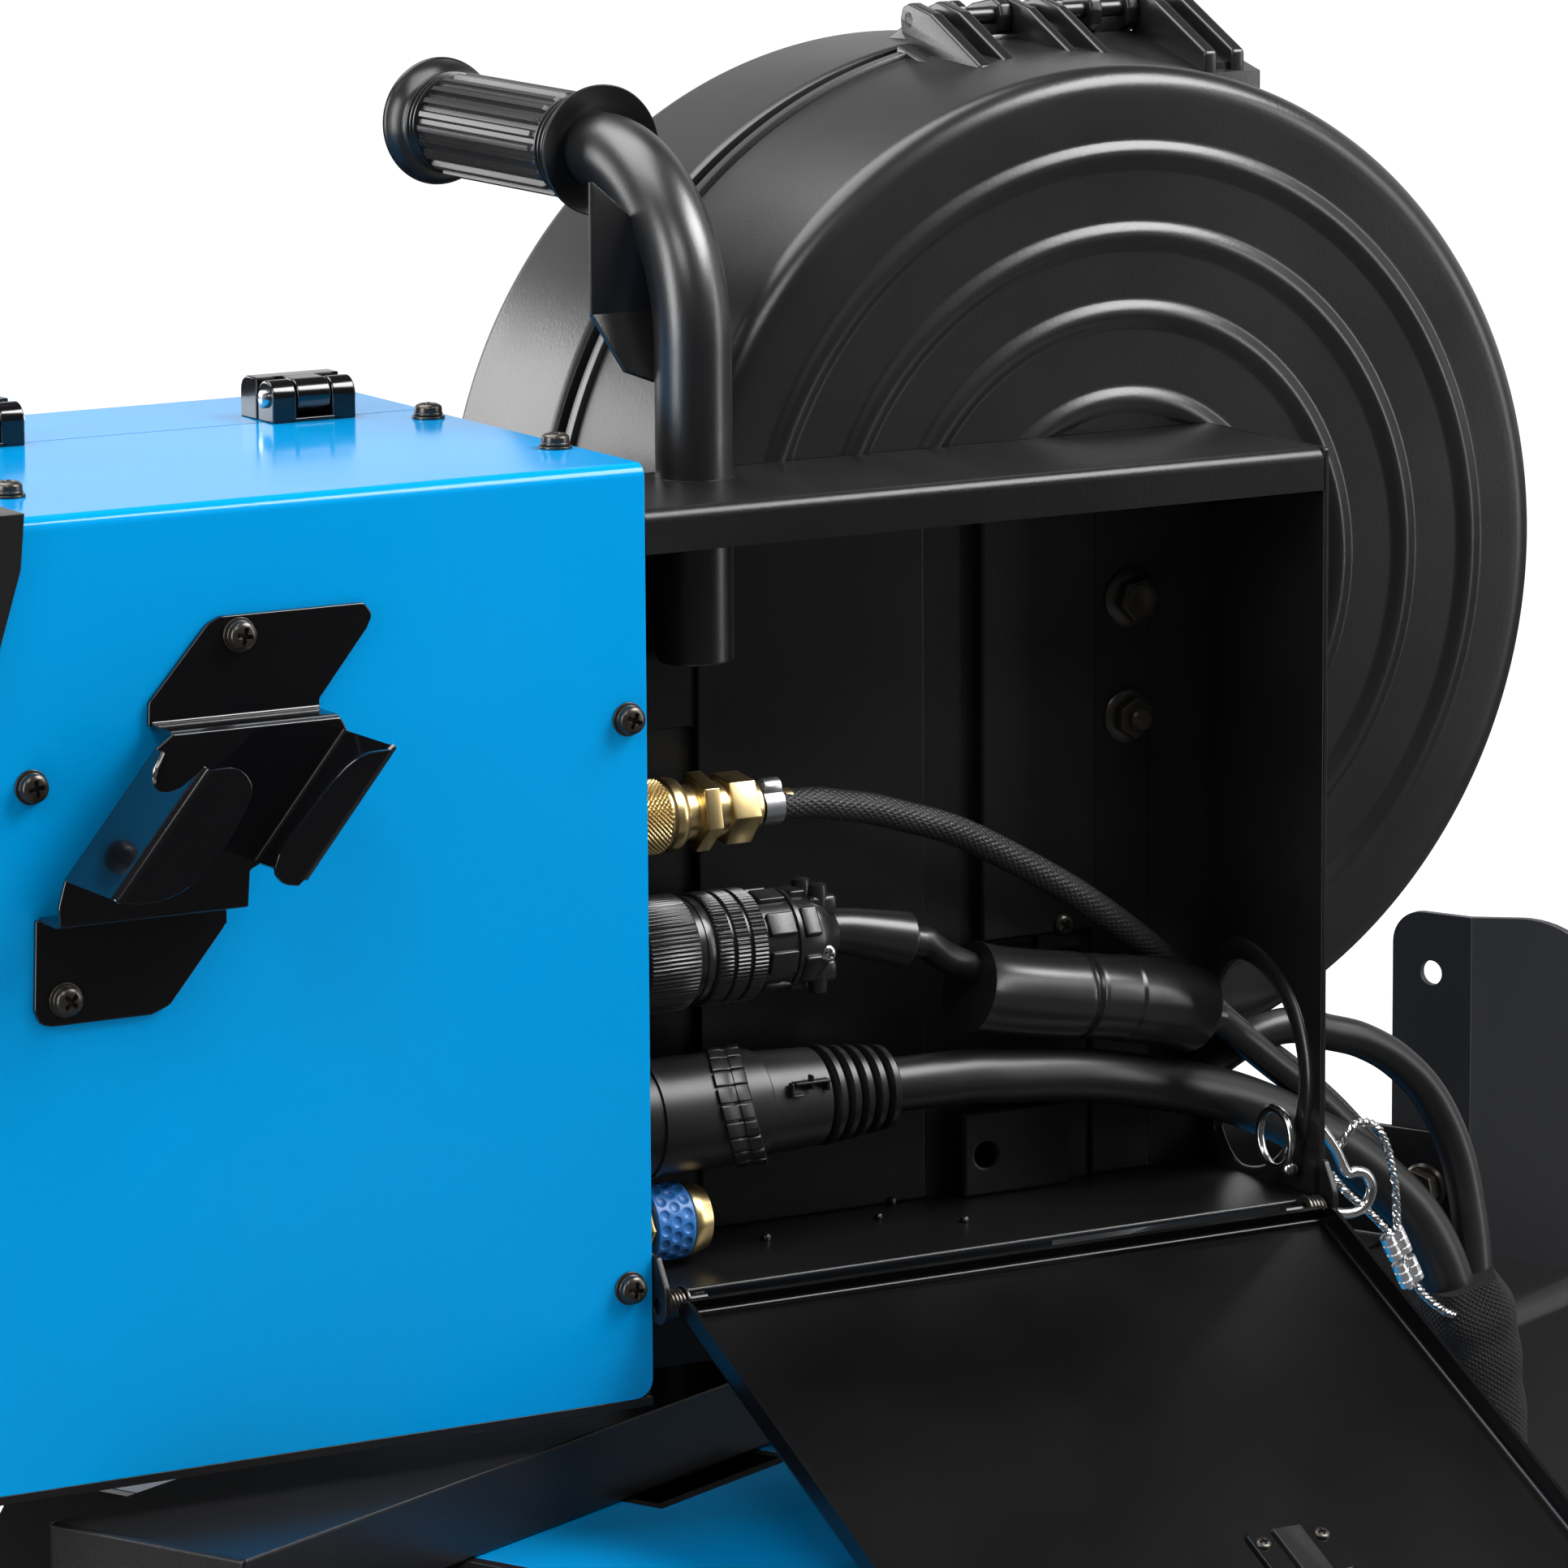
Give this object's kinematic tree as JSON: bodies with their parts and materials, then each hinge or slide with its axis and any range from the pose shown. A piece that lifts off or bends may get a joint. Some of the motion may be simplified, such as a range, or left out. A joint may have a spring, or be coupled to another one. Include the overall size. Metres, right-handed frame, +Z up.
{
  "type": "mig welder on cart",
  "caption": "Wire-feed welding set: a swivelling feeder with closed wire drum and connector bay stands on a power source with cooler, on a wheeled bottle cart.",
  "frame": {"origin": "on the floor, under the middle of the whole machine as it stands with the flap open", "axes": "+Z up, +X towards the rear of the cart, +Y to the side away from the connector bay"},
  "size_m": [1.09, 0.6488, 1.2935],
  "materials": {
    "frame_black": "satin powder coat",
    "cover_blue": "gloss paint",
    "panel_black": "fine grained",
    "drum_black": "fine grained",
    "grip_rubber": "matte",
    "cable_rubber": "matte",
    "sleeve_woven": "woven",
    "tyre_rubber": "matte",
    "rim_grey": "satin",
    "steel": "brushed",
    "zinc": "zinc plated",
    "brass": "machined",
    "screw_black": "black oxide",
    "tank_white": "translucent",
    "cap_blue": "gloss",
    "switch_red": "gloss",
    "copper": "copper coated",
    "coil": "varnished",
    "alloy": "cast"
  },
  "bodies": {
    "cart": {"chassis": "frame_black", "rear_axle": "zinc", "push_handle": "frame_black", "cooler_case": "frame_black", "cooler_front": "panel_black", "coolant_tank": "tank_white", "source_base": "frame_black", "source_cover": "cover_blue", "source_front": "panel_black", "source_rear": "panel_black", "source_sockets": "panel_black", "transformer": "coil", "support_beam": "frame_black", "cradle_bracket": "frame_black", "bottle_rests": "frame_black", "cradle_bolts": "screw_black"},
    "rear_wheel_near": {"rear_rim_near": "rim_grey", "rear_tyre_near": "tyre_rubber"},
    "rear_wheel_far": {"rear_rim_far": "rim_grey", "rear_tyre_far": "tyre_rubber"},
    "caster_near": {"caster_fork_near": "zinc"},
    "caster_far": {"caster_fork_far": "zinc"},
    "caster_roller_near": {"caster_wheel_near": "tyre_rubber"},
    "caster_roller_far": {"caster_wheel_far": "tyre_rubber"},
    "filler_cap": {"filler_cap": "cap_blue"},
    "main_switch": {"main_switch": "switch_red"},
    "fan": {"source_fan": "panel_black"},
    "feeder": {"feeder_base": "frame_black", "feeder_shell": "cover_blue", "front_bezel": "panel_black", "torch_socket": "brass", "hinge_blocks": "panel_black", "rear_housing": "frame_black", "hole_trim": "grip_rubber", "handle_tube": "frame_black", "handle_grip": "grip_rubber", "torch_holder": "frame_black", "drum_near": "drum_black", "spool_hub": "alloy", "drive_unit": "alloy", "gas_coupler": "brass", "control_plug": "panel_black", "power_plug": "grip_rubber", "water_couplers": "brass", "inner_cables": "cable_rubber", "tether": "steel", "bundle_sleeve": "sleeve_woven", "feeder_screws": "screw_black"},
    "knob_upper": {"knob_upper": "panel_black"},
    "knob_lower": {"knob_lower": "panel_black"},
    "feeder_door": {"feeder_door": "cover_blue", "hinge_leaves": "panel_black"},
    "flap": {"flap_door": "frame_black"},
    "flap_latch": {"flap_latch": "panel_black"},
    "drum_lid": {"drum_far": "drum_black"},
    "spool": {"spool": "rim_grey", "wire_winding": "copper"},
    "feed_roll": {"feed_roll": "steel"},
    "pressure_arm": {"pressure_arm": "alloy"},
    "pressure_roll": {"pressure_roll": "steel"}
  },
  "joints": [
    {"name": "feeder_swivel", "type": "hinge", "parent": "cart", "child": "feeder", "pos_m": [-0.11, 0.04941, 0.871], "axis": [0, 0, 1], "range_deg": [-20, 25], "deforming": ["bundle_sleeve"]},
    {"name": "feeder_door_hinge", "type": "hinge", "parent": "feeder", "child": "feeder_door", "pos_m": [-0.2581, 0.16481, 1.1783], "axis": [0.9063, -0.4226, 0], "range_deg": [0, 88]},
    {"name": "flap_hinge", "type": "hinge", "parent": "feeder", "child": "flap", "pos_m": [-0.11444, -0.06658, 0.901], "axis": [0.9063, -0.4226, 0], "range_deg": [-117, 0]},
    {"name": "latch_slide", "type": "slide", "parent": "flap", "child": "flap_latch", "axis": [-0.3766, -0.8075, -0.454], "range_m": [0, 0.006]},
    {"name": "drum_lid_hinge", "type": "hinge", "parent": "feeder", "child": "drum_lid", "pos_m": [0.03702, 0.0358, 1.2878], "axis": [0.9063, -0.4226, 0], "range_deg": [0, 95]},
    {"name": "spool_spin", "type": "hinge", "parent": "feeder", "child": "spool", "pos_m": [0.03702, 0.0358, 1.1068], "axis": [0.4226, 0.9063, 0], "continuous": true},
    {"name": "feed_roll_spin", "type": "hinge", "parent": "feeder", "child": "feed_roll", "pos_m": [-0.27243, 0.18142, 0.986], "axis": [0.4226, 0.9063, 0], "continuous": true},
    {"name": "pressure_arm_hinge", "type": "hinge", "parent": "feeder", "child": "pressure_arm", "pos_m": [-0.23617, 0.16452, 1.029], "axis": [0.4226, 0.9063, 0], "range_deg": [0, 60]},
    {"name": "pressure_roll_spin", "type": "hinge", "parent": "pressure_arm", "child": "pressure_roll", "pos_m": [-0.27243, 0.18142, 1.016], "axis": [0.4226, 0.9063, 0], "continuous": true},
    {"name": "knob_upper_turn", "type": "hinge", "parent": "feeder", "child": "knob_upper", "pos_m": [-0.46852, 0.15039, 1.05751], "axis": [-0.8757, 0.4083, 0.2579], "range_deg": [-135, 135]},
    {"name": "knob_lower_turn", "type": "hinge", "parent": "feeder", "child": "knob_lower", "pos_m": [-0.48452, 0.15785, 0.99496], "axis": [-0.8757, 0.4083, 0.2579], "range_deg": [-135, 135]},
    {"name": "main_switch_turn", "type": "hinge", "parent": "cart", "child": "main_switch", "pos_m": [-0.44, 0.10941, 0.443], "axis": [-1, 0, 0], "range_deg": [0, 90]},
    {"name": "fan_spin", "type": "hinge", "parent": "cart", "child": "fan", "pos_m": [0.18, 0.06941, 0.643], "axis": [1, 0, 0], "continuous": true},
    {"name": "filler_cap_turn", "type": "hinge", "parent": "cart", "child": "filler_cap", "pos_m": [-0.45, 0.12941, 0.318], "axis": [-1, 0, 0], "continuous": true},
    {"name": "caster_swivel_near", "type": "hinge", "parent": "cart", "child": "caster_near", "pos_m": [-0.48, -0.08559, 0.14], "axis": [0, 0, 1], "continuous": true},
    {"name": "caster_roll_near", "type": "hinge", "parent": "caster_near", "child": "caster_roller_near", "pos_m": [-0.445, -0.08559, 0.0625], "axis": [0, 1, 0], "continuous": true},
    {"name": "rear_wheel_roll_near", "type": "hinge", "parent": "cart", "child": "rear_wheel_near", "pos_m": [0.415, -0.20059, 0.125], "axis": [0, 1, 0], "continuous": true},
    {"name": "caster_swivel_far", "type": "hinge", "parent": "cart", "child": "caster_far", "pos_m": [-0.48, 0.18441, 0.14], "axis": [0, 0, 1], "continuous": true},
    {"name": "caster_roll_far", "type": "hinge", "parent": "caster_far", "child": "caster_roller_far", "pos_m": [-0.445, 0.18441, 0.0625], "axis": [0, 1, 0], "continuous": true},
    {"name": "rear_wheel_roll_far", "type": "hinge", "parent": "cart", "child": "rear_wheel_far", "pos_m": [0.415, 0.29941, 0.125], "axis": [0, 1, 0], "continuous": true}
  ],
  "couplings": [
    {"joint": "pressure_roll_spin", "follows": "feed_roll_spin", "ratio": -1}
  ]
}
